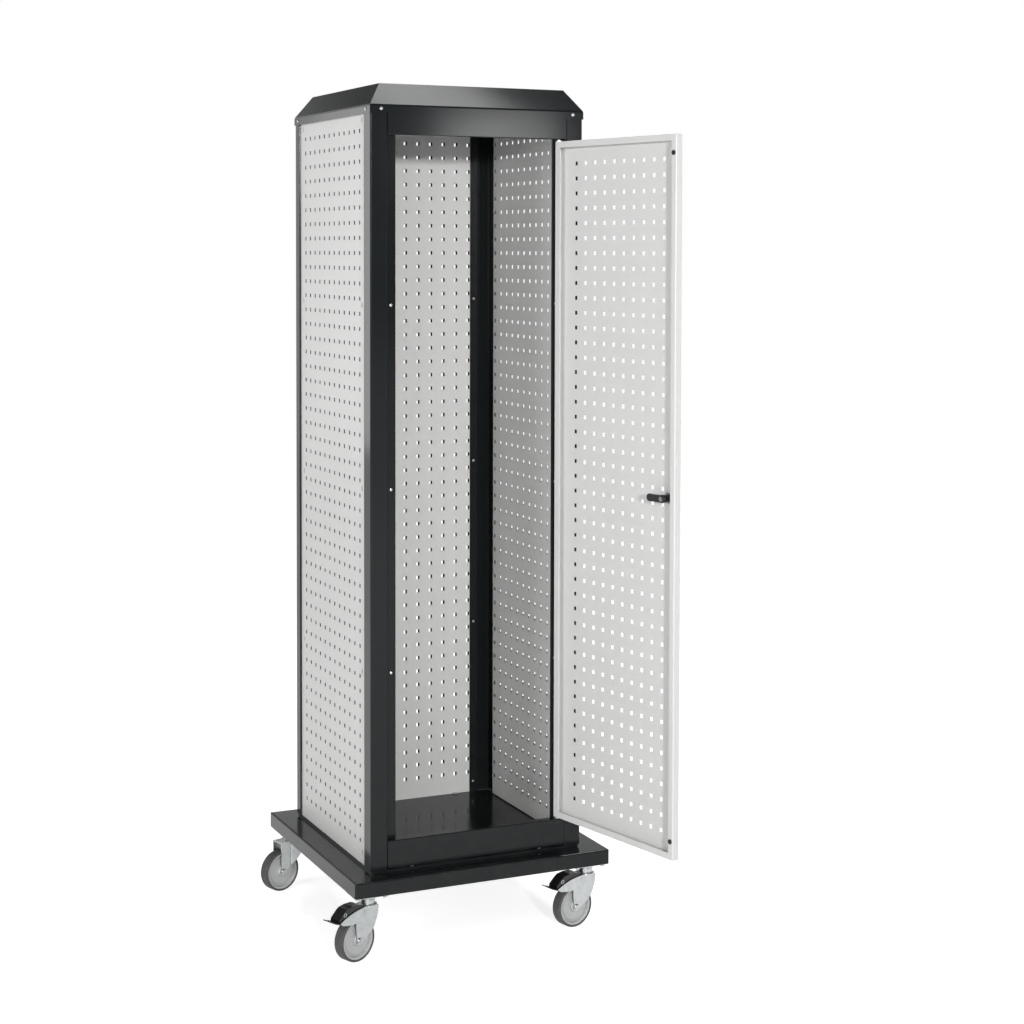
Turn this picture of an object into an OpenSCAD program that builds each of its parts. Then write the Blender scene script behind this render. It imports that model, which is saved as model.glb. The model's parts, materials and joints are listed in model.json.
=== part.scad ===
// Perforated tool tower with one door, standing on a dolly with four swivel castors.
// Millimetres, +Z up, +X to the right and +Y to the back. The origin is on the floor under the
// middle of the tower. The door is drawn open, at the angle door_open.

/* [Hole grid] */
// Distance between two neighbouring holes
hole_pitch = 38; // [37:0.5:39]
// Side of one square hole
hole_side = 10; // [8:0.5:12]
// Columns of holes in a wall panel
wall_columns = 12; // [10:1:12]
// Rows of holes in a wall panel
wall_rows = 48; // [36:2:48]

/* [Posts] */
// Width of the front face of a front post
post_face = 45; // [42:1:50]
// Depth of the side face of a front post
post_side_front = 49; // [45:1:55]
// Depth of the side face of a back post
post_side_back = 32; // [28:1:40]
// How far the panels sit behind the faces of the posts
panel_recess = 4.5; // [4:0.5:6]
// Sheet thickness of the frame
frame_t = 2; // [1.5:0.25:2.5]

/* [Roof] */
// Rise of the sloping sides
roof_rise = 56; // [30:1:80]
// How far the flat top is set in from the eaves
roof_inset = 39; // [25:1:60]
// Height of the skirt round the posts
skirt_h = 20; // [16:1:26]

/* [Door] */
// Depth of the door pan
door_depth = 20; // [18:0.5:21]
// Width of the lips folded in at the back of the door
door_lip = 16; // [12:1:20]
// Angle to which the door stands open
door_open = 101.8; // [0:0.1:101.8]

/* [Dolly] */
// Width of the dolly
dolly_w = 700; // [680:5:760]
// Depth of the dolly
dolly_d = 688; // [680:1:760]
// Height of the folded rims
rim_h = 38; // [30:1:45]

/* [Castors] */
// Diameter of the tyres
wheel_d = 108; // [104:1:112]
// Width of the tyres
tyre_w = 31; // [28:0.5:31]
// Height of a castor from the floor to its mounting plate
castor_h = 162; // [160:1:175]
// Distance from the swivel axis to the wheel axle
trail = 42; // [38:1:44]
// Direction of the front left wheel
turn_front_left = -159; // [-180:1:180]
// Direction of the front right wheel
turn_front_right = -168; // [-180:1:180]
// Direction of the back left wheel
turn_back_left = -162; // [-180:1:180]
// Direction of the back right wheel
turn_back_right = -165; // [-180:1:180]

/* [Hidden] */

anthracite = [0.19, 0.2, 0.2];
light_grey = [0.84, 0.84, 0.83];
zinc = [0.75, 0.76, 0.77];
rubber = [0.2, 0.2, 0.2];
rim_grey = [0.7, 0.71, 0.71];
black = [0.08, 0.08, 0.08];

// Walls and their margins beyond the outer holes
wall_t = 1;
wall_side_margin = 39.5;
wall_low_margin = 56.5;
wall_high_margin = 48;
play = 1;

grid_w = (wall_columns - 1) * hole_pitch;
grid_h = (wall_rows - 1) * hole_pitch;
opening_d = grid_w + 2 * wall_side_margin + 2 * play;
tower_d = post_side_front + opening_d + post_side_back;
tower_w = tower_d;
half_w = tower_w / 2;
half_d = tower_d / 2;
wall_mid_y = -half_d + post_side_front + opening_d / 2;

// Heights above the floor
dolly_top = castor_h + rim_h;
frame_z = dolly_top + 7;
row_low_z = frame_z + 0.5 + wall_low_margin;
row_top_z = row_low_z + grid_h;
frame_top = row_top_z + 56;
skirt_z = row_top_z + 40;
roof_z = skirt_z + skirt_h + roof_rise;

// Front opening for the door
door_rebate = 23.6;
stop_w = 30;
front_half = half_w - post_face;
sill_z = frame_z + 3;
sill_h = 70;
lintel_z = row_top_z - 13;

// Door, given in its closed place; its outer skin is flush with the front of the posts
door_t = 1.2;
door_hinge_x = front_half - 7.7;
door_lock_x = -front_half + 10.3;
door_w = door_hinge_x - door_lock_x;
door_z = sill_z + sill_h + 4;
door_h = lintel_z - 5 - door_z;
door_columns = floor((door_w - 120) / hole_pitch) + 1;
door_rows = wall_rows - 4;
door_front = -half_d;
pin_x = door_hinge_x - 7;
pin_y = door_front + 12;
pin_r = 4;
running_fit = 0.06;
lock_z = (row_low_z + row_top_z) / 2;
lock_x = door_lock_x + 37;

bend_r = 2;
bend_steps = 4;

axle_r = 6;
wheel_r = wheel_d / 2;
axle_z = wheel_r;
rim_r = wheel_r - 6.2;
castor_x = dolly_w / 2 - 48;
castor_y = dolly_d / 2 - 47;
cheek_in = 17;
cheek_t = 3;
crown_z = castor_h - 28;
plate_t = 4;
brake_pin_x = 24;
brake_pin_z = crown_z - 12;

// Corner signs and wheel directions: front left, front right, back left, back right
corner = [[-1, -1], [1, -1], [-1, 1], [1, 1]];
turns = [turn_front_left, turn_front_right, turn_back_left, turn_back_right];

// ---- bent sheet -----------------------------------------------------------------------------

function unit(v) = v / norm(v);
function left_of(v) = [-v[1], v[0]];
function turned(v, a) = [v[0] * cos(a) - v[1] * sin(a), v[0] * sin(a) + v[1] * cos(a)];

// Centre line of one bend: points with their normals, as [x, y, nx, ny]
function bend_points(a, b, c, r) =
    let (u = unit(b - a), w = unit(c - b))
    let (turn = atan2(u[0] * w[1] - u[1] * w[0], u * w))
    let (side = sign(turn), centre = b - r * tan(abs(turn) / 2) * u + side * r * left_of(u))
    [for (k = [0 : bend_steps])
        let (n = turned(left_of(u), turn * k / bend_steps))
        concat(centre - side * r * n, n)];

function end_point(p, u) = concat(p, left_of(u));

function sheet_line(path, r) =
    let (last = len(path) - 1)
    concat(
        [end_point(path[0], unit(path[1] - path[0]))],
        [for (i = [1 : last - 1]) each bend_points(path[i - 1], path[i], path[i + 1], r)],
        [end_point(path[last], unit(path[last] - path[last - 1]))]
    );

// Cross-section of a sheet folded along a path; the path is the middle of the sheet
module folded(path, t, r = bend_r) {
    line = sheet_line(path, r);
    last = len(line) - 1;
    polygon(concat(
        [for (i = [0 : last]) [line[i][0] + line[i][2] * t / 2, line[i][1] + line[i][3] * t / 2]],
        [for (i = [last : -1 : 0]) [line[i][0] - line[i][2] * t / 2, line[i][1] - line[i][3] * t / 2]]
    ));
}

// Sets a profile drawn in X and Z upright, centred on Y = 0
module upright(w) {
    rotate([90, 0, 0]) linear_extrude(w, center = true) children();
}

// ---- dolly ----------------------------------------------------------------------------------

module rounded_plate(w, d, r) {
    square([w - 2 * r, d], center = true);
    square([w, d - 2 * r], center = true);
    for (s = corner)
        translate([s[0] * (w / 2 - r), s[1] * (d / 2 - r)]) circle(r, $fn = 32);
}

// Upright profile whose two upper corners are rounded
module crowned(w, h, r) {
    translate([-w / 2, 0]) square([w, h - r]);
    translate([-w / 2 + r, 0]) square([w - 2 * r, h]);
    for (s = [-1, 1]) translate([s * (w / 2 - r), h - r]) circle(r);
}

// Block with rounded upright corners and rounded upper edges
module tray_block(w, d, h, corner_r, edge_r) {
    intersection() {
        linear_extrude(h) rounded_plate(w, d, corner_r);
        rotate([90, 0, 0]) linear_extrude(d + 2, center = true) crowned(w, h, edge_r);
        rotate([90, 0, 90]) linear_extrude(w + 2, center = true) crowned(d, h, edge_r);
    }
}

module dolly_tray() {
    lip = 14;
    corner_r = 6;
    edge_r = 4;
    color(anthracite) difference() {
        translate([0, 0, castor_h]) tray_block(dolly_w, dolly_d, rim_h, corner_r, edge_r);
        translate([0, 0, castor_h + frame_t])
            tray_block(dolly_w - 2 * frame_t, dolly_d - 2 * frame_t, rim_h - 2 * frame_t,
                corner_r - frame_t, edge_r - frame_t);
        translate([0, 0, castor_h - 1]) linear_extrude(frame_t + 2) {
            square([dolly_w - 2 * lip, dolly_d - 2 * lip], center = true);
            gusset_places() gusset_outline();
        }
        for (x = [-1, 1], y = [-1, 1])
            translate([x * bolt_x, y * bolt_y, dolly_top - frame_t - 1]) cylinder(h = 4, r = 4.3, $fn = 32);
    }
}

// Square plates welded into the corners of the tray, on which the castors are bolted
gusset_side = 104;
gusset_t = 3;
gusset_x = dolly_w / 2 - frame_t - gusset_side / 2;
gusset_y = dolly_d / 2 - frame_t - gusset_side / 2;

module gusset_places() {
    for (k = [0 : 3])
        translate([corner[k][0] * gusset_x, corner[k][1] * gusset_y]) children();
}

module gusset_outline() rounded_plate(gusset_side, gusset_side, 4);

// The four plate bolts of each castor
module castor_bolt_places() {
    for (k = [0 : 3], x = [-36, 36], y = [-30, 30])
        translate([corner[k][0] * castor_x + x, corner[k][1] * castor_y + y, 0]) children();
}

module corner_gussets() {
    color(anthracite) translate([0, 0, castor_h]) linear_extrude(gusset_t) difference() {
        gusset_places() gusset_outline();
        castor_bolt_places() circle(4.3, $fn = 32);
    }
}

// ---- tower frame ----------------------------------------------------------------------------

module floor_tray() {
    inset = 3;
    color(anthracite) difference() {
        translate([0, 0, dolly_top]) linear_extrude(7)
            rounded_plate(tower_w - 2 * inset, tower_d - 2 * inset, 3);
        translate([0, 0, dolly_top - 1]) linear_extrude(6.5)
            rounded_plate(tower_w - 2 * inset - 3, tower_d - 2 * inset - 3, 1.5);
        for (x = [-1, 1], y = [-1, 1])
            translate([x * bolt_x, y * bolt_y, dolly_top]) cylinder(h = 20, r = 4.3, $fn = 32);
    }
}

bolt_x = 177;
bolt_y = half_d - 13;

// Hexagon bolts that hold the tower on the dolly
module tower_bolts() {
    color(zinc) for (x = [-1, 1], y = [-1, 1])
        translate([x * bolt_x, y * bolt_y, 0]) {
            translate([0, 0, frame_z]) cylinder(h = 2.8, r = 7.5, $fn = 6);
            translate([0, 0, dolly_top - frame_t - 8]) cylinder(h = frame_z - dolly_top + frame_t + 8, r = 4);
            translate([0, 0, dolly_top - frame_t - 6.5]) cylinder(h = 6.5, r = 7.5, $fn = 6);
        }
}

// Faces, edges and flanges of the posts, as the middle of the sheet
skin = frame_t / 2;
flange_in = panel_recess + wall_t + skin;

front_post_path = [
    [-front_half + stop_w, -half_d + door_rebate + skin],
    [-front_half - skin, -half_d + door_rebate + skin],
    [-front_half - skin, -half_d + skin],
    [-half_w + skin, -half_d + skin],
    [-half_w + skin, -half_d + post_side_front - skin],
    [-half_w + flange_in, -half_d + post_side_front - skin],
    [-half_w + flange_in, -half_d + post_side_front + 29]
];

// A back post, with the width of its back face and how far its back flange reaches
function back_post_path(face, reach) = [
    [-half_w + flange_in, half_d - post_side_back - 29],
    [-half_w + flange_in, half_d - post_side_back + skin],
    [-half_w + skin, half_d - post_side_back + skin],
    [-half_w + skin, half_d - skin],
    [-half_w + face - skin, half_d - skin],
    [-half_w + face - skin, half_d - flange_in],
    [-half_w + reach, half_d - flange_in]
];

module post(path) {
    color(anthracite) difference() {
        translate([0, 0, frame_z]) linear_extrude(frame_top - frame_z) folded(path, frame_t);
        roof_screw_holes();
    }
}

module front_post() {
    color(anthracite) difference() {
        post(front_post_path);
        for (z = slot_heights)
            translate([post_screw_x, -half_d + door_rebate - 1, z])
                rotate([-90, 0, 0]) cylinder(h = frame_t + 2, r = 2.1, $fn = 24);
    }
}

module post_front_left() front_post();
module post_front_right() mirror([1, 0, 0]) front_post();

module rivet_holes() {
    color(anthracite) rivet_places() translate([0, 0, -5]) cylinder(h = 10, r = rivet_r, $fn = 24);
}

module post_back_left() {
    difference() {
        post(back_post_path(49, 78));
        rivet_holes();
    }
}

module post_back_right() {
    difference() {
        mirror([1, 0, 0]) post(back_post_path(43, 66));
        rivet_holes();
    }
}

// Channel that crosses the front between the posts, with its open side to the inside
module crosspiece(z, h) {
    t = 1.5;
    depth = 22;
    inner = 14;
    w = 2 * front_half - 1;
    path = [
        [-half_d + depth, z + inner],
        [-half_d + depth, z + t / 2],
        [-half_d + t / 2, z + t / 2],
        [-half_d + t / 2, z + h - t / 2],
        [-half_d + depth, z + h - t / 2],
        [-half_d + depth, z + h - inner]
    ];
    color(anthracite) rotate([90, 0, 90]) linear_extrude(w, center = true) folded(path, t, 1.6);
}

module hinge_bore(z, h) {
    translate([pin_x, pin_y, z]) cylinder(h = h, r = pin_r);
}

module sill() {
    difference() {
        crosspiece(sill_z, sill_h);
        color(anthracite) hinge_bore(sill_z + sill_h - 10, 20);
    }
}

module lintel() {
    difference() {
        crosspiece(lintel_z, frame_top - 2 - lintel_z);
        color(anthracite) hinge_bore(lintel_z - 10, 20);
    }
}

// ---- perforated walls -----------------------------------------------------------------------

slot_heights = [for (k = [-2 : 2]) lock_z + k * 460 * grid_h / 1786];
slot_w = 5;
slot_h = 12;
slot_gap = 17;
post_screw_x = -front_half + 18;

// Flat sheet with a grid of square holes; first is the centre of the lower left hole
module perforated(w, h, t, columns, rows, first, slots) {
    linear_extrude(t) difference() {
        square([w, h]);
        for (c = [0 : columns - 1], r = [0 : rows - 1])
            translate(first + [c, r] * hole_pitch) square(hole_side, center = true);
        for (s = slots)
            translate(s) square([slot_w, slot_h], center = true);
    }
}

wall_z = frame_z + 0.5;
wall_h = row_top_z + wall_high_margin - wall_z;

module wall(w, left_margin) {
    first = [left_margin, row_low_z - wall_z];
    slots = [for (z = slot_heights, x = [left_margin - slot_gap, left_margin + grid_w + slot_gap]) [x, z - wall_z]];
    color(light_grey) perforated(w, wall_h, wall_t, wall_columns, wall_rows, first, slots);
}

side_wall_w = opening_d - 2 * play;

module left_panel() {
    translate([-half_w + panel_recess, wall_mid_y - side_wall_w / 2, wall_z])
        rotate([90, 0, 90]) wall(side_wall_w, wall_side_margin);
}

// The grid of the right wall sits nearer to the front
right_grid_shift = 12.6;

module right_panel() {
    mirror([1, 0, 0]) translate([-half_w + panel_recess, wall_mid_y - side_wall_w / 2, wall_z])
        rotate([90, 0, 90]) wall(side_wall_w, wall_side_margin - right_grid_shift);
}

// X of the back wall's first column of holes
back_first_x = 9 - grid_w / 2;

module back_panel() {
    low = -half_w + 49 + play;
    high = half_w - 43 - play;
    translate([low, half_d - panel_recess, wall_z]) rotate([90, 0, 0]) wall(high - low, back_first_x - low);
}

// Rivets that hold the back wall on the flanges of the posts, through the slots of the wall
rivet_r = 2;
rivet_x = [back_first_x - slot_gap, back_first_x + grid_w + slot_gap];

module rivet_places() {
    for (z = slot_heights, x = rivet_x)
        translate([x, half_d - panel_recess - wall_t, z]) rotate([90, 0, 0]) children();
}

module panel_rivets() {
    color(zinc) rivet_places() {
        translate([0, 0, frame_t]) screw_head(3.6, 1.2);
        translate([0, 0, -wall_t]) cylinder(h = wall_t + frame_t, r = rivet_r, $fn = 24);
        translate([0, 0, -wall_t - 1]) cylinder(h = 1, r = 4.6, $fn = 24);
    }
}

// ---- roof -----------------------------------------------------------------------------------

// Outline of the cap seen from one side; its bend at the eaves is eased
module cap_outline(half, z0, z1, z2, inset) {
    ease = 2.5;
    slope = unit([-inset, z2 - z1]) * ease;
    right = [[half, z0], [half, z1 - ease], [half + slope[0], z1 + slope[1]], [half - inset, z2]];
    polygon(concat(right, [for (i = [3 : -1 : 0]) [-right[i][0], right[i][1]]]));
}

module cap_block(grow, z0, drop) {
    size = 2 * half_w + 100;
    eave = skirt_z + skirt_h - drop / 2;
    intersection() {
        rotate([90, 0, 0]) linear_extrude(size, center = true)
            cap_outline(half_w + grow, z0, eave, roof_z - drop, roof_inset);
        rotate([90, 0, 90]) linear_extrude(size, center = true)
            cap_outline(half_d + grow, z0, eave, roof_z - drop, roof_inset);
    }
}

module roof_cap() {
    color(anthracite) difference() {
        cap_block(2, skirt_z, 0);
        cap_block(0.5, skirt_z - 1, 1.5);
        roof_screw_holes();
    }
}

// Screws through the skirt into the posts, two on each side
roof_screw_z = skirt_z + 11;
roof_screw_in = 28;

module roof_screw_places() {
    for (s = [-1, 1], side = [-1, 1]) {
        translate([s * (half_w - roof_screw_in), side * (half_d + 2), roof_screw_z])
            rotate([-90 * side, 0, 0]) children();
        translate([side * (half_w + 2), s * (half_d - roof_screw_in), roof_screw_z])
            rotate([0, 90 * side, 0]) children();
    }
}

module roof_screw_holes() {
    roof_screw_places() translate([0, 0, -6]) cylinder(h = 8, r = 2, $fn = 24);
}

module roof_screws() {
    color(zinc) roof_screw_places() {
        screw_head(4.5, 2.4);
        translate([0, 0, -6]) cylinder(h = 6, r = 2, $fn = 24);
    }
}

// Low domed head with its flat underside at Z = 0
module screw_head(r, h) {
    rotate_extrude($fn = 32) polygon([[0, 0], [r, 0], [r, h * 0.3], [r * 0.85, h * 0.7], [r * 0.5, h], [0, h]]);
}

module post_screws() {
    color(zinc) for (side = [-1, 1], z = slot_heights)
        translate([side * post_screw_x, -half_d + door_rebate, z]) rotate([90, 0, 0]) {
            screw_head(3.8, 1.3);
            translate([0, 0, -4]) cylinder(h = 4, r = 2, $fn = 24);
        }
}

// ---- door -----------------------------------------------------------------------------------

// Puts what is drawn in the closed place to where the open door has it
module opened() {
    translate([pin_x, pin_y, 0]) rotate([0, 0, door_open]) translate([-pin_x, -pin_y, 0]) children();
}

pin_reach = 14;

module hinge_pins() {
    color(zinc) {
        translate([pin_x, pin_y, door_z - 4 - 6]) cylinder(h = pin_reach, r = pin_r);
        translate([pin_x, pin_y, door_z + door_h - 4]) cylinder(h = pin_reach + 1, r = pin_r);
    }
}

// Edge of the door pan: skin, side wall and lip; side is +1 at the hinge, -1 at the lock
module door_edge(x, side, lip) {
    c = door_t / 2;
    path = [
        [x - side * 9, door_front + c],
        [x - side * c, door_front + c],
        [x - side * c, door_front + door_depth - c],
        [x - side * lip, door_front + door_depth - c]
    ];
    translate([0, 0, door_z]) linear_extrude(door_h) folded(path, door_t, 1.8);
}

module door_pan() {
    hinge_lip = 20;
    low = door_lock_x + 9;
    skin_w = door_w - 18;
    first = [(skin_w - (door_columns - 1) * hole_pitch) / 2, (door_h - (door_rows - 1) * hole_pitch) / 2];
    opened() color(light_grey) difference() {
        union() {
            translate([low, door_front + door_t, door_z]) rotate([90, 0, 0])
                perforated(skin_w, door_h, door_t, door_columns, door_rows, first, []);
            door_edge(door_hinge_x, 1, hinge_lip);
            door_edge(door_lock_x, -1, door_lip);
            for (z = [door_z, door_z + door_h - door_t])
                translate([door_lock_x + 1, door_front + 1, z]) cube([door_w - 2, door_depth - 2, door_t]);
            for (z = [door_z, door_z + door_h - door_lip])
                translate([door_lock_x + door_lip, door_front + door_depth - door_t, z])
                    cube([door_w - door_lip - hinge_lip, door_t, door_lip]);
        }
        for (z = [door_z - 1, door_z + door_h - 3])
            translate([pin_x, pin_y, z]) cylinder(h = 4, r = pin_r + running_fit);
        translate([lock_x, door_front - 1, lock_z]) rotate([-90, 0, 0]) cylinder(h = 4, r = 9.5);
    }
}

module door_buffers() {
    opened() color(black) for (z = [door_z + 45, door_z + door_h - 45])
        translate([door_lock_x + 9, door_front + door_depth, z]) rotate([-90, 0, 0])
            rotate_extrude($fn = 32) polygon([[0, 0], [6, 0], [6, 2], [5, 3], [0, 3.2]]);
}

lock_seat = door_front + door_t;

module lock_housing() {
    opened() color(black) translate([lock_x, 0, lock_z]) rotate([-90, 0, 0]) difference() {
        union() {
            translate([0, 0, door_front - 3]) cylinder(h = 3, r = 14);
            translate([0, 0, door_front]) cylinder(h = 22, r = 9.4);
        }
        translate([0, 0, door_front - 4]) cylinder(h = 30, r = 6.5 + running_fit);
    }
}

module lock_nut() {
    opened() color(zinc) translate([lock_x, lock_seat, lock_z]) rotate([-90, 0, 0]) difference() {
        cylinder(h = 5, r = 14.5, $fn = 6);
        translate([0, 0, -1]) cylinder(h = 7, r = 9.4);
    }
}

module lock_cylinder() {
    opened() color(zinc) translate([lock_x, 0, lock_z]) rotate([-90, 0, 0]) {
        difference() {
            translate([0, 0, door_front - 4.5]) cylinder(h = 28.5, r = 6.5);
            translate([-0.6, -4, door_front - 5]) cube([1.2, 8, 4]);
        }
        translate([0, 0, door_front + 24]) intersection() {
            cylinder(h = 5.5, r = 5.5);
            cube([8, 12, 20], center = true);
        }
    }
}

cam_level = door_front + 26.5;

// Tongue that reaches behind the post when it is turned to the lock side
module lock_cam() {
    opened() color(black) translate([lock_x, cam_level, lock_z]) rotate([-90, 0, 0]) difference() {
        linear_extrude(3) {
            circle(10);
            translate([0, -9]) square([46, 18]);
            translate([46, 0]) circle(9);
        }
        translate([0, 0, -1]) linear_extrude(5) intersection() {
            circle(5.55);
            square([8.1, 12], center = true);
        }
    }
}

module cam_screw() {
    opened() color(zinc) translate([lock_x, cam_level + 3, lock_z]) rotate([-90, 0, 0]) cylinder(h = 3, r = 6.5, $fn = 6);
}

// ---- castors --------------------------------------------------------------------------------

// Each castor is drawn with its swivel axis on Z and its wheel towards +X, then put in its corner
module at_corner(k) {
    translate([corner[k][0] * castor_x, corner[k][1] * castor_y, 0]) children();
}

module at_castor(k) {
    at_corner(k) rotate([0, 0, turns[k]]) children();
}

race_r = 24;
neck_r = 19;
pin_hole_r = 6;

module castor_plate(k) {
    color(zinc) at_corner(k) difference() {
        union() {
            translate([0, 0, castor_h - plate_t]) linear_extrude(plate_t) rounded_plate(90, 76, 6);
            translate([0, 0, crown_z + 13.3]) rotate_extrude() polygon([
                [0, 0], [race_r - 3, 0], [race_r, 3], [race_r, 8], [race_r - 2, castor_h - plate_t - crown_z - 13.3],
                [0, castor_h - plate_t - crown_z - 13.3]
            ]);
        }
        translate([0, 0, crown_z]) cylinder(h = 40, r = pin_hole_r);
        for (x = [-36, 36], y = [-30, 30])
            translate([x, y, castor_h - 10]) cylinder(h = 20, r = 4.3, $fn = 32);
    }
}

module kingpins() {
    color(zinc) for (k = [0 : 3]) at_corner(k) {
        translate([0, 0, crown_z - 3.5]) cylinder(h = castor_h - crown_z + 3.5 - 0.5, r = pin_hole_r);
        translate([0, 0, crown_z - 6.5]) cylinder(h = 3.1, r = 9.5);
    }
}

module castor_bolts() {
    color(zinc) castor_bolt_places() {
        translate([0, 0, castor_h - plate_t - 4]) cylinder(h = 4, r = 6.5, $fn = 6);
        translate([0, 0, castor_h - plate_t]) cylinder(h = plate_t + gusset_t + 4, r = 4);
    }
}

// Side of a braked fork in X and Z: a fender over the wheel that narrows down to the axle
module fender_outline() {
    arc_r = 180;
    intersection() {
        translate([15, crown_z - arc_r]) circle(arc_r, $fn = 200);
        polygon([
            [-20, 190], [-20, 126], [-17, 108], [-12, 94], [-4, 77], [5, 68], [trail - 8, axle_z - 6],
            [trail, axle_z - 8], [trail + 8, axle_z - 3], [52, 68], [54, 100], [72, 99.5],
            [95, 103], [104, 110], [110, 190]
        ]);
    }
    translate([trail, axle_z]) circle(10);
}

module fender_cheeks() {
    for (s = [-1, 1])
        translate([0, s * (cheek_in + cheek_t / 2), 0]) upright(cheek_t) fender_outline();
    translate([0, 0, crown_z - 3.2]) linear_extrude(3.2) {
        circle(24);
        translate([-14, -cheek_in - 1]) square([30, 2 * cheek_in + 2]);
    }
}

// Plain fork: two straps down to the axle, joined by a round skirt about the swivel axis
strap_x = 21.5;
strap_end = 49;
skirt_r = norm([strap_x, cheek_in + cheek_t]);

module strap_plan() {
    for (s = [-1, 1])
        translate([strap_x - 2, s * (cheek_in + cheek_t / 2)])
            translate([0, -cheek_t / 2]) square([strap_end - strap_x + 2, cheek_t]);
    difference() {
        circle(skirt_r);
        circle(skirt_r - cheek_t);
        translate([strap_x - 1.5, -50]) square(100);
    }
}

module skirt_outline() {
    low = [[-40, 124], [-29, 118], [-12, 100], [2, 86], [19, 69], [trail - 9, axle_z - 1]];
    polygon(concat([[-40, crown_z]], low, [
        [trail, axle_z - 8], [trail + 8, axle_z], [strap_end + 1, 68], [strap_end + 1, crown_z]
    ]));
    translate([trail, axle_z]) circle(10);
}

module strap_cheeks() {
    intersection() {
        linear_extrude(crown_z) union() {
            strap_plan();
            for (s = [-1, 1])
                translate([trail - 12, s * (cheek_in + cheek_t / 2) - cheek_t / 2]) square([24, cheek_t]);
        }
        upright(80) skirt_outline();
    }
    translate([0, 0, crown_z - 3.2]) linear_extrude(3.2) {
        circle(skirt_r - 1);
        translate([0, -cheek_in - 1]) square([strap_end, 2 * cheek_in + 2]);
    }
}

module fork(k, braked) {
    color(zinc) at_castor(k) difference() {
        union() {
            if (braked) fender_cheeks(); else strap_cheeks();
            translate([0, 0, crown_z]) rotate_extrude() polygon([
                [0, 0], [neck_r + 3, 0], [neck_r, 3], [neck_r, 13], [0, 13]
            ]);
        }
        translate([0, 0, crown_z - 10]) cylinder(h = 40, r = pin_hole_r + running_fit);
        translate([trail, 0, axle_z]) rotate([90, 0, 0]) cylinder(h = 60, r = axle_r, center = true);
        if (braked)
            translate([brake_pin_x, 0, brake_pin_z]) rotate([90, 0, 0]) cylinder(h = 60, r = 3, center = true);
    }
}

module axle(k) {
    reach = cheek_in + cheek_t;
    color(zinc) at_castor(k) translate([trail, 0, axle_z]) rotate([90, 0, 0]) {
        cylinder(h = 2 * reach, r = axle_r, center = true);
        translate([0, 0, reach]) cylinder(h = 4.5, r = 8.5, $fn = 6);
        rotate([180, 0, 0]) translate([0, 0, reach]) rotate_extrude() polygon([
            [0, 0], [7.5, 0], [7.5, 2.4], [6.6, 3.4], [4.4, 3.4], [4.4, 2.6], [2.6, 2.6], [2.6, 4.2], [0, 4.2]
        ]);
    }
}

// Wheel body: rim, grooved web and hub
module wheel_rim(k) {
    w = tyre_w / 2 - 2;
    hub = cheek_in - 0.5;
    web = 8.5;
    groove = 5.5;
    half = [
        [axle_r + running_fit, hub], [12, hub], [14, hub - 1.5], [15.5, web], [rim_r - 13, web],
        [rim_r - 10.5, groove], [rim_r - 7.5, groove], [rim_r - 5, w - 1], [rim_r - 3.5, w], [rim_r, w]
    ];
    last = len(half) - 1;
    color(rim_grey) at_castor(k) translate([trail, 0, axle_z]) rotate([90, 0, 0]) rotate_extrude()
        polygon(concat(half, [for (i = [last : -1 : 0]) [half[i][0], -half[i][1]]]));
}

module tyre(k) {
    w = tyre_w / 2;
    shoulder = 4;
    color(rubber) at_castor(k) translate([trail, 0, axle_z]) rotate([90, 0, 0]) rotate_extrude() polygon(concat(
        [[rim_r, w - 1.2], [rim_r, -w + 1.2], [rim_r + 1, -w]],
        [for (a = [0 : 15 : 90]) [wheel_r - shoulder + shoulder * sin(a), -w + shoulder - shoulder * cos(a)]],
        [for (a = [90 : -15 : 0]) [wheel_r - shoulder + shoulder * sin(a), w - shoulder + shoulder * cos(a)]],
        [[rim_r + 1, w]]
    ));
}

// Black lever that presses its shoe on the tyre, with a ring sunk into each of its sides
module brake(k) {
    half = cheek_in - 0.5;
    z = brake_pin_z;
    ring_place = [86, 127];
    color(black) at_castor(k) difference() {
        union() {
            upright(2 * half) union() {
                translate([brake_pin_x, z]) circle(8);
                polygon([
                    [brake_pin_x, z + 8], [34, 141], [42, 143], [62, 143], [80, 139.5], [88, 134],
                    [105, 118], [105, 113], [102, 111.5], [90, 111.5], [60, 116], [brake_pin_x, z - 8]
                ]);
            }
            upright(tyre_w - 6) polygon([[40, 120], [38, 112.5], [56, 110.5], [60, 120]]);
        }
        translate([brake_pin_x, 0, z]) rotate([90, 0, 0]) cylinder(h = 60, r = 3 + running_fit, center = true);
        for (s = [-1, 1])
            translate([ring_place[0], s * half, ring_place[1]]) rotate([90, 0, 0])
                rotate_extrude() translate([3.4, -0.8]) square([1.6, 1.6]);
    }
}

module brake_pin(k) {
    reach = cheek_in + cheek_t;
    color(zinc) at_castor(k) translate([brake_pin_x, 0, brake_pin_z]) rotate([90, 0, 0]) {
        cylinder(h = 2 * reach, r = 3, center = true);
        for (s = [-1, 1]) translate([0, 0, s * (reach + 0.8)]) cylinder(h = 1.6, r = 4.5, center = true);
    }
}

// Pressed tread that the foot works on, under the end of the lever
module pedal(k) {
    path = [[90, 110.5], [108, 110.5], [124, 116.5]];
    color(zinc) at_castor(k) difference() {
        upright(46) folded(path, 2, 6);
        for (s = [-1, 1]) translate([80, s * 31, 100]) linear_extrude(30) square([52, 30], center = true);
    }
}

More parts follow.
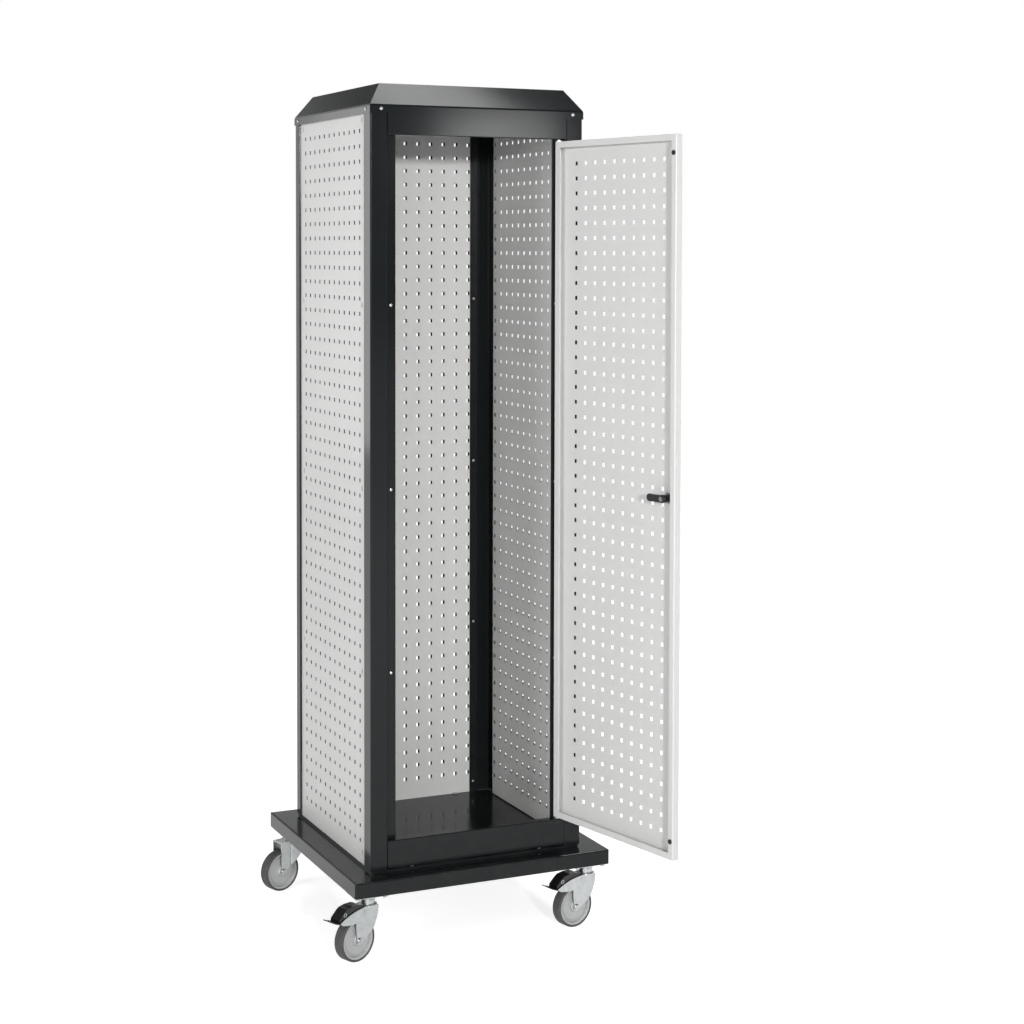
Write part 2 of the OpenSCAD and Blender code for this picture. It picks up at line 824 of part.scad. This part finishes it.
module front_left_plate() castor_plate(0);
module front_right_plate() castor_plate(1);
module back_left_plate() castor_plate(2);
module back_right_plate() castor_plate(3);
module front_left_fork() fork(0, true);
module front_right_fork() fork(1, true);
module back_left_fork() fork(2, false);
module back_right_fork() fork(3, false);
module front_left_axle() axle(0);
module front_right_axle() axle(1);
module back_left_axle() axle(2);
module back_right_axle() axle(3);
module front_left_rim() wheel_rim(0);
module front_right_rim() wheel_rim(1);
module back_left_rim() wheel_rim(2);
module back_right_rim() wheel_rim(3);
module front_left_tyre() tyre(0);
module front_right_tyre() tyre(1);
module back_left_tyre() tyre(2);
module back_right_tyre() tyre(3);
module front_left_brake() brake(0);
module front_right_brake() brake(1);
module front_left_pedal() pedal(0);
module front_right_pedal() pedal(1);
module front_left_brake_pin() brake_pin(0);
module front_right_brake_pin() brake_pin(1);

$fn = 48;

dolly_tray();
corner_gussets();
floor_tray();
tower_bolts();
post_front_left();
post_front_right();
post_back_left();
post_back_right();
sill();
lintel();
left_panel();
right_panel();
back_panel();
roof_cap();
roof_screws();
post_screws();
panel_rivets();
hinge_pins();
door_pan();
door_buffers();
lock_housing();
lock_nut();
lock_cylinder();
lock_cam();
cam_screw();
front_left_plate();
front_right_plate();
back_left_plate();
back_right_plate();
front_left_fork();
front_right_fork();
back_left_fork();
back_right_fork();
front_left_axle();
front_right_axle();
back_left_axle();
back_right_axle();
front_left_rim();
front_right_rim();
back_left_rim();
back_right_rim();
front_left_tyre();
front_right_tyre();
back_left_tyre();
back_right_tyre();
kingpins();
castor_bolts();
front_left_brake();
front_right_brake();
front_left_pedal();
front_right_pedal();
front_left_brake_pin();
front_right_brake_pin();
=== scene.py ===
# %% [markdown]
# # A perforated tool tower on four castors
#
# This lesson dresses a steel tool tower: four folded corner posts, perforated sheet walls, a sloped
# roof cap, one perforated door that stands open, and a dolly with swivel castors. The solids come
# ready made, at real size in metres, and they are never moved or reshaped here. What is left to do is
# to give every surface its real finish, to add the second sheets of the walls and the small rings and
# washers, and to light and photograph the whole.

# %% Load the solid model
import json
import math

import bmesh
import bpy
from mathutils import Matrix, Vector


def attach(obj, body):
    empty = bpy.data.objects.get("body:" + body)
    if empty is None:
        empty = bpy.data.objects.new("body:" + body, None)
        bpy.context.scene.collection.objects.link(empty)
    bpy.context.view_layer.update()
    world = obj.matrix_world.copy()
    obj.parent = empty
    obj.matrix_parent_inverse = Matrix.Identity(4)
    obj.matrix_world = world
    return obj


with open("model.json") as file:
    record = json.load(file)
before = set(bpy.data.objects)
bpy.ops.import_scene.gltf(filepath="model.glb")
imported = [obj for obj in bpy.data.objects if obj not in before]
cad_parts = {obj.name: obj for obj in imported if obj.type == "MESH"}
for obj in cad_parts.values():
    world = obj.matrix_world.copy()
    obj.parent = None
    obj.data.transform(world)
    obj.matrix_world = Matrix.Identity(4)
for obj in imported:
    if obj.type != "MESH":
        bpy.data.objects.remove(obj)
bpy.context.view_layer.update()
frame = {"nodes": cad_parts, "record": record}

nodes = frame["nodes"]

# %% [markdown]
# ## Shader arithmetic
#
# A finish is mostly sums: a base tone, plus a little cloudiness, plus fine speckle. Wiring a Math node
# for every plus sign is tedious and hard to read, so one small class stands for the output of a node
# and takes part in ordinary Python expressions. Each plus or minus adds its Math node behind the
# scenes. Colours go through Mix, because a Math node would turn them grey.

# %% A field that can be added, scaled and mixed
class Field:
    """The output of one shader node, used in Python sums such as 1 - mask or 0.3 * grain."""

    def __init__(self, socket):
        self.socket = socket

    def node(self, kind, inputs, output=0, stops=(), **settings):
        """Adds a node of this kind to the same material: its settings first, then its inputs."""
        tree = self.socket.id_data
        made = tree.nodes.new(kind)
        for name, value in settings.items():
            setattr(made, name, value)
        for index, (place, shade) in enumerate(stops):
            ramp = made.color_ramp.elements
            stop = ramp[index] if index < len(ramp) else ramp.new(place)
            stop.position = place
            stop.color = (shade, shade, shade, 1)
        for name, value in inputs.items():
            if isinstance(value, Field):
                tree.links.new(value.socket, made.inputs[name])
            else:
                made.inputs[name].default_value = value
        return Field(made.outputs[output])

    def math(self, operation, first, second):
        return self.node("ShaderNodeMath", {0: first, 1: second}, operation=operation)

    def __add__(self, other):
        return self.math("ADD", self, other)

    def __sub__(self, other):
        return self.math("SUBTRACT", self, other)

    def __rsub__(self, other):
        return self.math("SUBTRACT", other, self)

    def __mul__(self, other):
        return self.math("MULTIPLY", self, other)

    __radd__ = __add__
    __rmul__ = __mul__

    def larger(self, other):
        return self.math("MAXIMUM", self, other)

    def smaller(self, other):
        return self.math("MINIMUM", self, other)

    def noise(self, size, detail=2.0):
        """Cloudy noise from 0 to 1 over this place, with patches about this many metres wide."""
        return self.node("ShaderNodeTexNoise", {"Vector": self, "Scale": 1 / size, "Detail": detail})

    def stretched(self, x, y, z):
        """The same place with its axes scaled, which draws a pattern out along the small ones."""
        return self.node("ShaderNodeVectorMath", {0: self, 1: (x, y, z)}, operation="MULTIPLY")

    def ramp(self, *stops):
        """A grey ramp through (place, shade) stops."""
        return self.node("ShaderNodeValToRGB", {"Fac": self}, stops=stops)

    def mixed(self, low, high):
        """A colour that goes from low, where this field is 0, to high, where it is 1."""
        return self.node("ShaderNodeMix", {0: self, 6: low, 7: high}, 2, data_type="RGBA")

    def bump(self, height, strength):
        """A surface normal for relief of this height in metres, with this field as its profile."""
        return self.node("ShaderNodeBump", {"Height": self, "Distance": height, "Strength": strength})


def axis_of(place, index):
    """One coordinate of a place, as a number in metres."""
    return place.node("ShaderNodeSeparateXYZ", {"Vector": place}, index)


def linear(red, green, blue):
    """A shader colour from the 0 to 255 values of a paint chip."""
    def channel(value):
        share = value / 255
        return share / 12.92 if share <= 0.04045 else ((share + 0.055) / 1.055) ** 2.4
    return channel(red), channel(green), channel(blue), 1.0


print("a mid grey chip as light:", [round(c, 3) for c in linear(128, 128, 128)])

# %% A material under construction
class Finish:
    """A material under construction: its shader, and the place of a point on the piece."""

    def __init__(self, name, **constants):
        self.material = bpy.data.materials.new(name)
        self.material.use_nodes = True
        tree = self.material.node_tree
        self.shader = tree.nodes["Principled BSDF"]
        self.place = Field(tree.nodes.new("ShaderNodeTexCoord").outputs["Object"])
        self.set(**constants)

    def set(self, **sockets):
        """Sets sockets of the shader by name, with an underscore for each space."""
        for name, value in sockets.items():
            socket = self.shader.inputs[name.replace("_", " ")]
            if isinstance(value, Field):
                self.material.node_tree.links.new(value.socket, socket)
            else:
                socket.default_value = value


# %% [markdown]
# ## Powder coat
#
# The frame, the roof and the dolly are folded steel, powder coated in anthracite. Powder melts into a
# skin with a faint orange peel about a millimetre across. The walls and the door have a duller coat
# in light grey. All get the peel as bump, a cloudiness of tone a hand wide, and a thin haze of dust
# low down, where a tower on wheels collects it.

# %% The two powder coats
CLOUD_WIDTH = 0.14
PEEL_WIDTH, WAVE_WIDTH = 0.0016, 0.004
DUST_WIDTH = 0.03
DUST_PATCHES = ((0.42, 0.0), (0.75, 1.0))
CLEAN_FROM_HEIGHT = ((0.05, 0.0), (0.5, 1.0))
DUST_COVER = 0.22


def powder_coat(name, chip, dusty_chip, roughness, peel, gleam, mottle):
    """A coat whose tone strays from its chip by the share called mottle; peel is in metres."""
    finish = Finish(name, Specular_IOR_Level=gleam)
    place = finish.place
    clouds = place.noise(CLOUD_WIDTH, 3.0)
    grain = place.noise(PEEL_WIDTH, 1.0)
    low = 1 - axis_of(place, 2).ramp(*CLEAN_FROM_HEIGHT)
    dust = low * place.noise(DUST_WIDTH, 4.0).ramp(*DUST_PATCHES)
    tone = 0.55 * clouds + 0.45 * grain
    dark = tuple(c * (1 - mottle) for c in chip[:3]) + (1,)
    light = tuple(min(1.0, c * (1 + mottle)) for c in chip[:3]) + (1,)
    finish.set(
        Base_Color=(DUST_COVER * dust).mixed(tone.mixed(dark, light), dusty_chip),
        Roughness=roughness + 0.05 * clouds + 0.12 * dust,
        Normal=(0.7 * grain + 0.3 * place.noise(WAVE_WIDTH, 1.0)).bump(peel, 0.5),
    )
    return finish.material


frame_paint = powder_coat(
    "anthracite_powder_coat", chip=linear(23, 26, 27), dusty_chip=linear(54, 53, 51),
    roughness=0.1, peel=0.000012, gleam=0.18, mottle=0.05)
panel_paint = powder_coat(
    "light_grey_powder_coat", chip=linear(208, 208, 207), dusty_chip=linear(190, 186, 178),
    roughness=0.34, peel=0.00004, gleam=0.3, mottle=0.05)
print("powder coats:", frame_paint.name, "and", panel_paint.name)

# %% [markdown]
# ## Zinc, plastic and rubber
#
# The castor forks, the screws and the pins are zinc plated: a pale metal with a soft, slightly
# mottled shine, duller than chrome. The wheel bodies are moulded grey plastic and the tyres soft grey
# rubber, which is never quite even: it holds dust on the tread. Black plastic covers the brake levers
# and the lock, and the treads of the levers are blackened steel.

# %% Zinc plate
BLOOM_WIDTH = 0.012
BRUSH_LINES = (40, 40, 900)
ZINC_GRAIN_WIDTH = 0.001


def zinc_plate():
    finish = Finish("zinc_plate", Metallic=1.0)
    place = finish.place
    bloom = place.noise(BLOOM_WIDTH, 4.0)
    brushed = place.stretched(*BRUSH_LINES).noise(1.0, 2.0)
    finish.set(
        Base_Color=bloom.mixed(linear(156, 159, 160), linear(190, 192, 192)),
        Roughness=0.2 + 0.12 * bloom + 0.06 * brushed,
        Normal=(0.5 * brushed + 0.5 * place.noise(ZINC_GRAIN_WIDTH)).bump(0.00002, 0.3),
    )
    return finish.material


zinc = zinc_plate()
print("metal:", zinc.name)

# %% Moulded plastics and blackened steel
FLOW_WIDTH = 0.025
MOULD_GRAIN_WIDTH = 0.0007


def moulded(name, dark, light, roughness, texture):
    """An even surface with faint flow marks; texture is the depth of its grain in metres."""
    finish = Finish(name, Specular_IOR_Level=0.45)
    place = finish.place
    flow = place.noise(FLOW_WIDTH, 3.0)
    grain = place.noise(MOULD_GRAIN_WIDTH, 1.0)
    finish.set(
        Base_Color=flow.mixed(dark, light),
        Roughness=roughness + 0.1 * flow + 0.05 * grain,
        Normal=grain.bump(texture, 0.5),
    )
    return finish.material


blackened_steel = moulded(
    "blackened_steel", linear(26, 26, 27), linear(44, 44, 45), roughness=0.32, texture=0.00002)
wheel_plastic = moulded(
    "grey_wheel_plastic", linear(162, 164, 164), linear(176, 178, 177), roughness=0.4, texture=0.00002)
black_plastic = moulded(
    "black_plastic", linear(15, 15, 16), linear(24, 24, 25), roughness=0.14, texture=0.00001)
buffer_rubber = moulded(
    "buffer_rubber", linear(14, 14, 14), linear(26, 26, 26), roughness=0.6, texture=0.00004)
print("moulded:", wheel_plastic.name, black_plastic.name, buffer_rubber.name, "and", blackened_steel.name)

# %% Tyre rubber
PATCH_WIDTH = 0.02
RUBBER_GRAIN_WIDTH = 0.0012
RUBBER_DUST = ((0.5, 0.0), (0.8, 1.0))


def tyre_rubber():
    finish = Finish("grey_tyre_rubber", Specular_IOR_Level=0.35)
    place = finish.place
    patches = place.noise(PATCH_WIDTH, 4.0)
    grain = place.noise(RUBBER_GRAIN_WIDTH, 2.0)
    dust = patches.ramp(*RUBBER_DUST)
    finish.set(
        Base_Color=(0.5 * dust + 0.2 * grain).mixed(linear(62, 62, 62), linear(104, 102, 99)),
        Roughness=0.62 + 0.2 * dust,
        Normal=(0.6 * grain + 0.4 * patches).bump(0.00012, 0.5),
    )
    return finish.material


tyre = tyre_rubber()
print("rubber:", tyre.name)

# %% Every solid takes the finish of its slot
finishes = {
    "frame_paint": frame_paint,
    "panel_paint": panel_paint,
    "zinc": zinc,
    "blackened_steel": blackened_steel,
    "rim": wheel_plastic,
    "tyre": tyre,
    "black_plastic": black_plastic,
    "buffer_rubber": buffer_rubber,
}

for part in frame["record"]["subparts"]:
    skin = nodes[part["node"]].data
    skin.materials.clear()
    skin.materials.append(finishes[part["material_slot"]])

# %% [markdown]
# ## The second sheet of each wall
#
# Looking closely at the photograph, every hole is half light and half dark: behind the sheet one sees
# stands a second one, and only where the holes of both overlap does the light come through. The
# solids hold one sheet of each wall. The other is drawn here, from the grid lines of its holes: lines
# run along both edges of every column and every row, and the cells that lie inside a column and
# A narrow fold on its two upright edges rests on the sheet or flange beside it. Its cavity side and hole
# edges take a near-black coat, which is painted shade for the dark gap between the sheets.

# %% A folded sheet with square holes
HOLE_PITCH = 0.038
HOLE_HALF = 0.005
COLUMNS, ROWS = 12, 48
SHEET = 0.001


def grid_lines(edges, first, count):
    """Both edges of every hole along one direction, between the two edges of the sheet."""
    lines = [edges[0]]
    for index in range(count):
        centre = first + index * HOLE_PITCH
        lines += [centre - HOLE_HALF, centre + HOLE_HALF]
    return lines + [edges[1]]


def add_box(mesh, low, high):
    """Adds an upright box between two opposite corners."""
    made = bmesh.ops.create_cube(mesh, size=1.0)["verts"]
    centre = (Vector(low) + Vector(high)) / 2
    size = Vector(high) - Vector(low)
    for vert in made:
        vert.co = centre + Vector(a * b for a, b in zip(vert.co, size))


def link(mesh, name, body, *materials):
    """Turns a bmesh into an object that moves with a body of the part."""
    mesh.normal_update()
    data = bpy.data.meshes.new(name)
    mesh.to_mesh(data)
    mesh.free()
    for material in materials:
        data.materials.append(material)
    piece = bpy.data.objects.new(name, data)
    bpy.context.scene.collection.objects.link(piece)
    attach(piece, body)


def second_sheet(name, across, upward, place, fold, finish):
    """A sheet from grid lines; place turns (across, depth, up) into a point of the tower."""
    mesh = bmesh.new()
    verts = [[[mesh.verts.new(place(x, depth, z)) for x in across] for z in upward]
             for depth in (0, SHEET)]

    def quad(*corners):
        """A face from (side, row, column) corners; only the seen side, 0, takes the first material, and
        the cavity side and hole edges take the painted shade.
        """
        face = mesh.faces.new([verts[side][row][column] for side, row, column in corners])
        face.material_index = int(any(side for side, row, column in corners))

    for j in range(len(upward) - 1):
        for i in range(len(across) - 1):
            if i % 2 and j % 2:
                quad((0, j, i), (0, j, i + 1), (1, j, i + 1), (1, j, i))
                quad((0, j + 1, i), (1, j + 1, i), (1, j + 1, i + 1), (0, j + 1, i + 1))
                quad((0, j, i), (1, j, i), (1, j + 1, i), (0, j + 1, i))
                quad((0, j, i + 1), (0, j + 1, i + 1), (1, j + 1, i + 1), (1, j, i + 1))
            else:
                quad((0, j, i), (0, j + 1, i), (0, j + 1, i + 1), (0, j, i + 1))
                quad((1, j, i), (1, j, i + 1), (1, j + 1, i + 1), (1, j + 1, i))
    for edge, width in ((across[0], SHEET), (across[-1], -SHEET)):
        add_box(mesh, place(edge, SHEET, upward[0]), place(edge + width, fold, upward[-1]))
    bmesh.ops.recalc_face_normals(mesh, faces=mesh.faces)
    link(mesh, name, "tower", finish, painted_shade_coat)


# Painted shade: a near-black coat for the cavity side and hole edges of each second sheet, so the gap
# between the sheets reads dark through the holes.
painted_shade_coat = powder_coat(
    "painted_shade_cavity_coat", chip=linear(22, 23, 24), dusty_chip=linear(38, 37, 36),
    roughness=0.5, peel=0.00004, gleam=0.15, mottle=0.07)
print("a sheet has", COLUMNS * ROWS, "holes")

# %% The inner sheets of the side walls
FIRST_ROW = 0.264
SIDE_HEIGHTS = (0.21, 2.092)
SIDE_SHEET = 0.2752
SIDE_FOLD = 0.0073
RIGHT_EDGES, RIGHT_FIRST_COLUMN = (-0.237, 0.236), -0.19506
LEFT_EDGES, LEFT_FIRST_COLUMN = (-0.237, 0.247), -0.1845

side_rows = grid_lines(SIDE_HEIGHTS, FIRST_ROW, ROWS)
second_sheet("right_inner_sheet", grid_lines(RIGHT_EDGES, RIGHT_FIRST_COLUMN, COLUMNS), side_rows,
             lambda y, depth, z: (SIDE_SHEET + depth, y, z), SIDE_FOLD, panel_paint)
second_sheet("left_inner_sheet", grid_lines(LEFT_EDGES, LEFT_FIRST_COLUMN, COLUMNS), side_rows,
             lambda y, depth, z: (-SIDE_SHEET - depth, y, z), SIDE_FOLD, panel_paint)
print("side walls lined at", SIDE_SHEET, "m from the middle")

# %% The outer sheet of the back wall
BACK_HEIGHTS = (0.2085, 2.096)
BACK_ROW_DROP = 0.001
BACK_SHEET = 0.2888
BACK_FOLD = 0.0033
BACK_EDGES, BACK_FIRST_COLUMN = (-0.2395, 0.2455), -0.2036

back_rows = grid_lines(BACK_HEIGHTS, FIRST_ROW - BACK_ROW_DROP, ROWS)
second_sheet("back_outer_sheet", grid_lines(BACK_EDGES, BACK_FIRST_COLUMN, COLUMNS), back_rows,
             lambda x, depth, z: (x, BACK_SHEET - depth, z), BACK_FOLD, frame_paint)
print("back wall closed at", BACK_SHEET, "m behind the middle")

# %% [markdown]
# ## Small hardware
#
# The brake levers carry a bright ring on each side, sunk into its groove, and the door turns on
# thick washers, one at each pin.

# %% Rings on the brake levers
RING_SIDES = 40
EASED_SHARE = 0.12


def ring(name, inner, outer, height, place, body):
    """A flat zinc ring with eased edges about the Z axis, then put in its place."""
    ease = EASED_SHARE * (outer - inner)
    outline = [(inner, 0), (inner, height - ease), (inner + ease, height), (outer - ease, height),
               (outer, height - ease), (outer, 0)]
    mesh = bmesh.new()
    loops = []
    for index in range(RING_SIDES):
        turn = 2 * math.pi * index / RING_SIDES
        loops.append([mesh.verts.new((r * math.cos(turn), r * math.sin(turn), z)) for r, z in outline])
    for index in range(RING_SIDES):
        here, there = loops[index], loops[(index + 1) % RING_SIDES]
        for k in range(len(outline)):
            after = (k + 1) % len(outline)
            mesh.faces.new([here[k], there[k], there[after], here[after]])
    bmesh.ops.recalc_face_normals(mesh, faces=mesh.faces)
    mesh.transform(place)
    link(mesh, name, body, finishes["zinc"])


BRAKED_CASTORS = {"front_left": ((-0.302, -0.297), -159), "front_right": ((0.302, -0.297), -168)}
RING_X, RING_Z = 0.086, 0.127
LEVER_HALF = 0.0165
GROOVE_DEPTH = 0.0007

for castor, (corner, turn) in BRAKED_CASTORS.items():
    stand = Matrix.Translation((*corner, 0)) @ Matrix.Rotation(math.radians(turn), 4, "Z")
    for side in (-1, 1):
        seat = Matrix.Translation((RING_X, side * (LEVER_HALF - GROOVE_DEPTH), RING_Z))
        face = Matrix.Rotation(math.radians(-90 * side), 4, "X")
        ring(f"{castor}_lever_ring_{'out' if side > 0 else 'in'}", 0.0034, 0.005, 0.0010,
             stand @ seat @ face, f"{castor}_lever")
print(2 * len(BRAKED_CASTORS), "lever rings")

# %% Washers under the door
HINGE = (0.2303, -0.278)
WASHER_HEIGHTS = {"lower": 0.2802, "upper": 2.0322}

for name, height in WASHER_HEIGHTS.items():
    ring(f"{name}_hinge_washer", 0.0041, 0.0095, 0.0034, Matrix.Translation((*HINGE, height)), "tower")
print(len(WASHER_HEIGHTS), "hinge washers")

# %% [markdown]
# ## The room
#
# The tower stands in a white studio. A small lamp far behind the camera shines through the doorway
# onto the back wall, and the lintel's shadow falls across the top of it; a softer one beside it
# reaches the right wall, and a wide one on the left lights the left wall. A soft box behind on the
# left is mirrored in the left faces of the posts, one in front on the right in the lintel, and two
# strips overhead in the roof's front slope and in the rounded edges of the dolly. The white behind
# the tower is not made with more light, which would burn out the pale walls: rays from the camera
# simply find a white room, and so do rays mirrored in paint or metal, while the lamps and a dimmer
# room light do the lighting. Overhead, and in one direction behind the camera, mirrored rays find it
# dark, and that keeps the anthracite deep.

# %% White room for the eye, dimmer room for the light
ROOM_LIGHT = 0.17
DARK_ROOM = 0.15
CEILING_EDGE = (0.25, 0.34)
FLAG = (0.39, -0.915, -0.1)
FLAG_EDGE = (0.88, 0.96)


def light_path(start, kind):
    """1 for rays of one kind, and 0 for all others."""
    return start.node("ShaderNodeLightPath", {}, kind)


def seen_directly(start):
    """1 for rays from the camera, mirrored rays and rays through glass, and 0 for lighting rays."""
    camera_ray = light_path(start, "Is Camera Ray")
    mirrored_ray = light_path(start, "Is Glossy Ray")
    glass_ray = light_path(start, "Is Transmission Ray")
    return camera_ray.larger(mirrored_ray).larger(glass_ray)


world = bpy.data.worlds.new("studio")
bpy.context.scene.world = world
world.use_nodes = True
backdrop = world.node_tree.nodes["Background"]
direction = Field(world.node_tree.nodes.new("ShaderNodeTexCoord").outputs["Generated"])
overhead = axis_of(direction, 2).ramp((CEILING_EDGE[0], 1.0), (CEILING_EDGE[1], DARK_ROOM))
toward_flag = direction.node("ShaderNodeVectorMath", {0: direction, 1: FLAG}, 1, operation="DOT_PRODUCT")
behind_camera = toward_flag.ramp((FLAG_EDGE[0], 1.0), (FLAG_EDGE[1], DARK_ROOM))
mirrored = light_path(direction, "Is Camera Ray").larger(overhead.smaller(behind_camera))
room = seen_directly(direction).mixed((ROOM_LIGHT, ROOM_LIGHT, ROOM_LIGHT, 1), mirrored)
world.node_tree.links.new(room.socket, backdrop.inputs["Color"])
print("room light", ROOM_LIGHT)

# %% The floor: a white sheet that keeps the shadow
FLOOR_HALF = 30.0
FLOOR_DARK = (0.74, 0.74, 0.74, 1)
FLOOR_LIGHT = (0.76, 0.76, 0.76, 1)
GLOW_NEAR, GLOW_FAR = 0.74, 0.88
NEAR_REACH, FAR_REACH = 1.2, 6.0
RAMP_LENGTH = 10.0


def floor_sheet():
    mesh = bpy.data.meshes.new("studio_floor")
    corners = [(-FLOOR_HALF, -FLOOR_HALF, 0), (FLOOR_HALF, -FLOOR_HALF, 0),
               (FLOOR_HALF, FLOOR_HALF, 0), (-FLOOR_HALF, FLOOR_HALF, 0)]
    mesh.from_pydata(corners, [], [(0, 1, 2, 3)])
    floor = bpy.data.objects.new("studio_floor", mesh)
    bpy.context.scene.collection.objects.link(floor)
    finish = Finish("studio_floor", Roughness=0.9, Specular_IOR_Level=0.0)
    clouds = finish.place.noise(0.4, 2.0)
    away = finish.place.node("ShaderNodeVectorMath", {0: finish.place}, 1, operation="LENGTH")
    glow = (away * (1 / RAMP_LENGTH)).ramp(
        (NEAR_REACH / RAMP_LENGTH, GLOW_NEAR), (FAR_REACH / RAMP_LENGTH, GLOW_FAR))
    finish.set(
        Base_Color=clouds.mixed(FLOOR_DARK, FLOOR_LIGHT),
        Emission_Color=seen_directly(finish.place).mixed((0, 0, 0, 1), glow),
        Emission_Strength=1.0,
    )
    mesh.materials.append(finish.material)


floor_sheet()
print("floor", 2 * FLOOR_HALF, "m square")

# %% Soft boxes
def soft_box(name, place, target, width, height, watts):
    """A rectangular lamp at a place, turned to shine at a target."""
    lamp = bpy.data.lights.new(name, "AREA")
    lamp.shape = "RECTANGLE"
    lamp.size = width
    lamp.size_y = height
    lamp.energy = watts
    box = bpy.data.objects.new(name, lamp)
    bpy.context.scene.collection.objects.link(box)
    box.location = place
    box.rotation_euler = (Vector(target) - Vector(place)).to_track_quat("-Z", "Y").to_euler()


soft_box("camera_side_lamp", place=(-1.5, -9.2, 2.58), target=(0, 0, 1.2),
         width=0.72, height=0.4, watts=500)
soft_box("left_fill_soft_box", place=(-2.9, -5.3, 1.9), target=(0, 0, 1.1),
         width=1.4, height=1.4, watts=54)
soft_box("left_back_soft_box", place=(-2.4, 3.5, 1.7), target=(-0.3, 0, 1.2),
         width=1.8, height=1.8, watts=15)
soft_box("left_front_soft_box", place=(-4.4, -2.2, 1.9), target=(0, 0, 1.1),
         width=2.0, height=2.4, watts=100)
soft_box("roof_strip", place=(0.96, -1.03, 4.79), target=(-0.09, -0.28, 2.12),
         width=0.36, height=1.2, watts=21)
soft_box("edge_strip", place=(2.3, 0.15, 4.8), target=(0, -0.3, 0.2),
         width=1.1, height=1.0, watts=85)
soft_box("right_front_soft_box", place=(1.8, -4.2, 2.2), target=(0.05, -0.29, 2.05),
         width=0.5, height=0.4, watts=10.5)

# %% [markdown]
# ## The camera
#
# The picture was taken from about five metres, a little above the middle of the tower, with the film
# plane kept almost upright and the lens shifted down to hold the dolly. The numbers below were solved
# from the tower's own hole grid.

# %% Camera
EYE = Vector((-1.9915, -4.8501, 1.7537))
TURN = math.radians(24.736)
TILT = math.radians(2.365)
ROLL = math.radians(0.133)
LEVEL = math.radians(90)
FOCAL_PIXELS = 1975.55
PICTURE_PIXELS = 1024
MIDDLE_PIXELS = (517.96, 331.95)
SENSOR = 36.0
SEES_AS_FAR_AS = 60

lens = bpy.data.cameras.new("camera")
lens.sensor_width = SENSOR
lens.lens = SENSOR * FOCAL_PIXELS / PICTURE_PIXELS
lens.shift_x = (PICTURE_PIXELS / 2 - MIDDLE_PIXELS[0]) / PICTURE_PIXELS
lens.shift_y = (MIDDLE_PIXELS[1] - PICTURE_PIXELS / 2) / PICTURE_PIXELS
lens.clip_end = SEES_AS_FAR_AS
camera = bpy.data.objects.new("camera", lens)
bpy.context.scene.collection.objects.link(camera)
camera.matrix_world = (
    Matrix.Translation(EYE)
    @ Matrix.Rotation(-TURN, 4, "Z")
    @ Matrix.Rotation(LEVEL - TILT, 4, "X")
    @ Matrix.Rotation(ROLL, 4, "Z")
)
bpy.context.scene.camera = camera
bpy.context.scene.view_settings.view_transform = "Standard"
print("lens", round(lens.lens, 2), "mm, shift", round(lens.shift_x, 4), round(lens.shift_y, 4))
